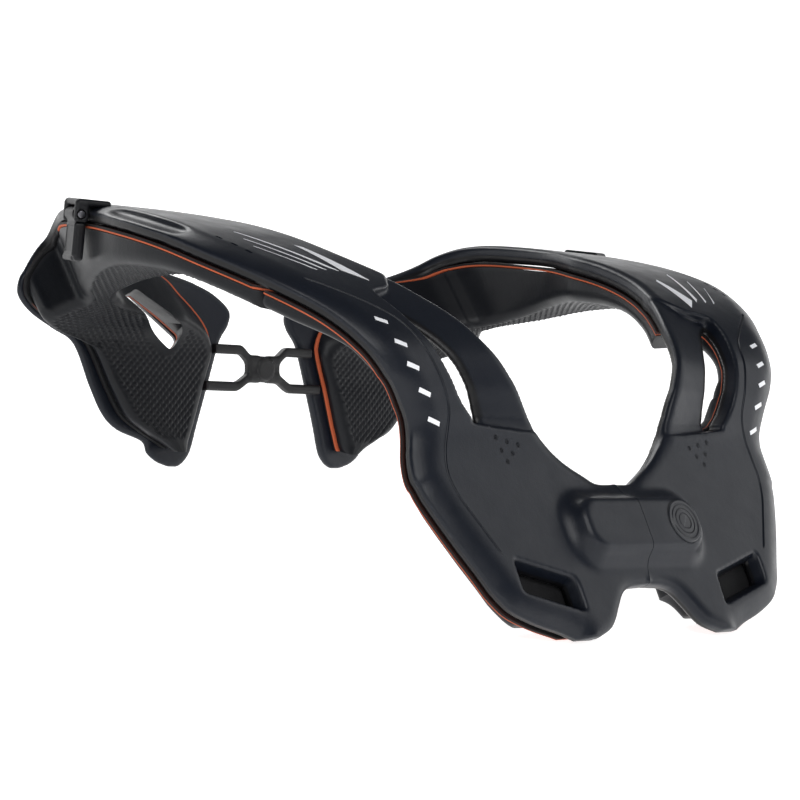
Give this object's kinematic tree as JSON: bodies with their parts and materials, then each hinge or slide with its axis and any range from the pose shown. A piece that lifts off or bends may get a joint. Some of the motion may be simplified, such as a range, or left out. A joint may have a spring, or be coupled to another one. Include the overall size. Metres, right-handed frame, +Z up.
{
  "type": "motocross neck brace",
  "caption": "Rigid neck brace with split moulded frame, side arms, back wings, foam pads, rear rubber coupling and a chest release button.",
  "frame": {"origin": "centre of the footprint, at the lowest points of the chest lobes and wings", "axes": "+Z up; the wearer faces -Y; +X is the side of the release button, the wearer's left"},
  "size_m": [0.308, 0.25, 0.1149],
  "materials": {
    "shell": "satin moulded",
    "pad": "matte textured foam skin",
    "liner": "matte foam edge",
    "rubber": "matte",
    "clip": "satin moulded",
    "button": "satin moulded",
    "pin": "dark plated"
  },
  "bodies": {
    "frame": {"half_frame_right": "shell", "front_liner_right": "liner", "back_liner_right": "liner", "front_pad_right": "pad", "back_pad_right": "pad", "clip_base_right": "clip", "clip_pin_right": "pin", "half_frame_left": "shell", "front_liner_left": "liner", "back_liner_left": "liner", "front_pad_left": "pad", "back_pad_left": "pad", "clip_base_left": "clip", "clip_pin_left": "pin", "rear_coupling": "rubber"},
    "lever_right": {"clip_lever_right": "clip"},
    "lever_left": {"clip_lever_left": "clip"},
    "button": {"release_button": "button"}
  },
  "joints": [
    {"name": "clip_right_hinge", "type": "hinge", "parent": "frame", "child": "lever_right", "pos_m": [0.14559, 0.06993, 0.10625], "axis": [0.3629, -0.9227, 0.13], "range_deg": [0, 70]},
    {"name": "clip_left_hinge", "type": "hinge", "parent": "frame", "child": "lever_left", "pos_m": [-0.14559, 0.06993, 0.10625], "axis": [0.3629, 0.9227, -0.13], "range_deg": [0, 70]},
    {"name": "release_button_slide", "type": "slide", "parent": "frame", "child": "button", "axis": [0, 0.7572, -0.6532], "range_m": [0, 0.002], "stiffness_N_per_m": 600, "springref_m": -0.001}
  ]
}
